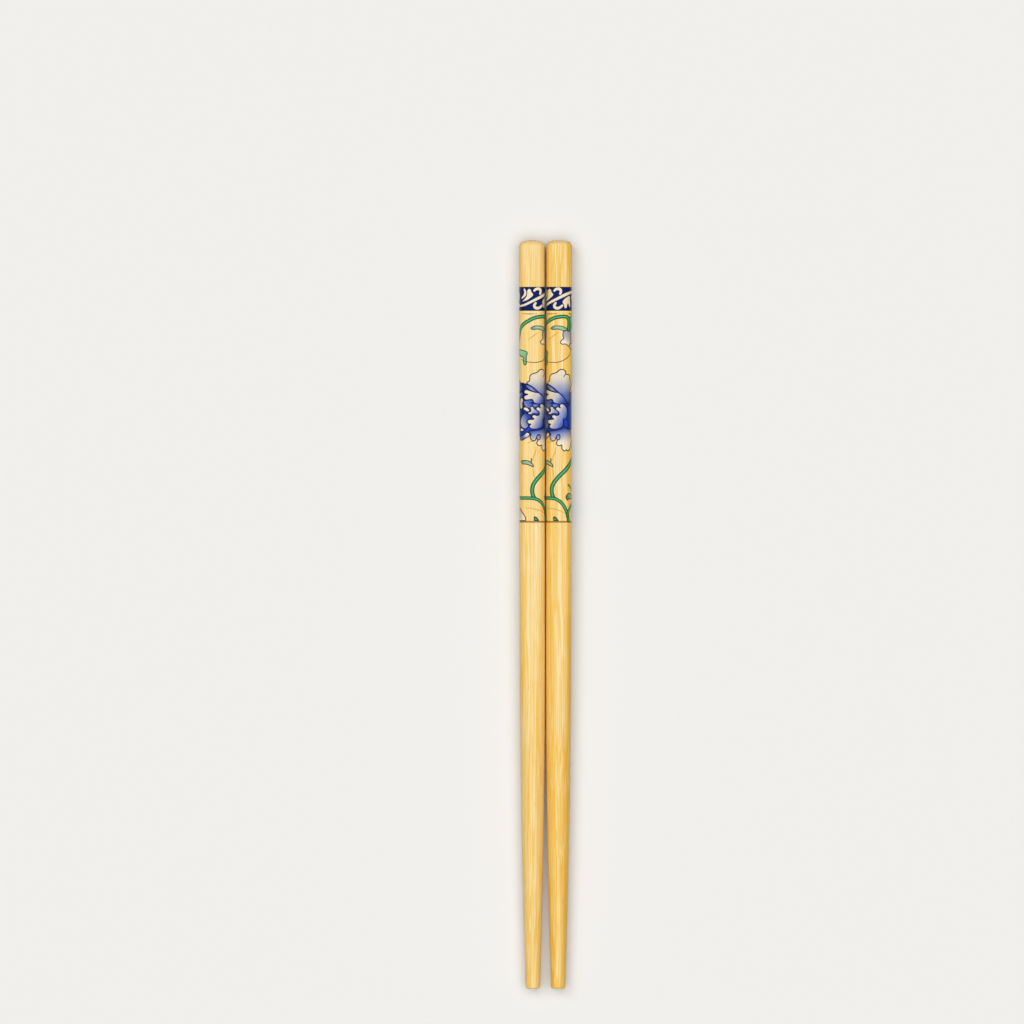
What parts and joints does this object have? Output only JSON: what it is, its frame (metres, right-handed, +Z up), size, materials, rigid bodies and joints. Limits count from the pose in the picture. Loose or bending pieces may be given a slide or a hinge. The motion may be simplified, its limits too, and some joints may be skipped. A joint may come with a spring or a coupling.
{
  "type": "pair of bamboo chopsticks",
  "caption": "Pair of bamboo chopsticks with printed square handles whose rounded corners are ground away to slim, blunt, round tips, for picking up food.",
  "frame": {"origin": "on the table, at the bottom centre of the pair's bounding box", "axes": "+Z up from the table, +Y along the sticks towards the handle ends, +X across the pair from the left stick to the right one"},
  "size_m": [0.0162, 0.23, 0.0078],
  "materials": {
    "bamboo_pale": "smooth sanded bamboo with fine lengthwise fibres, satin, with printed flowers and a scroll border on the handle",
    "bamboo_golden": "smooth sanded bamboo, a deeper gold, with fine lengthwise fibres, satin, with the same print on the handle"
  },
  "bodies": {
    "root": {"chopstick_left": "bamboo_pale", "chopstick_right": "bamboo_golden"}
  },
  "joints": []
}
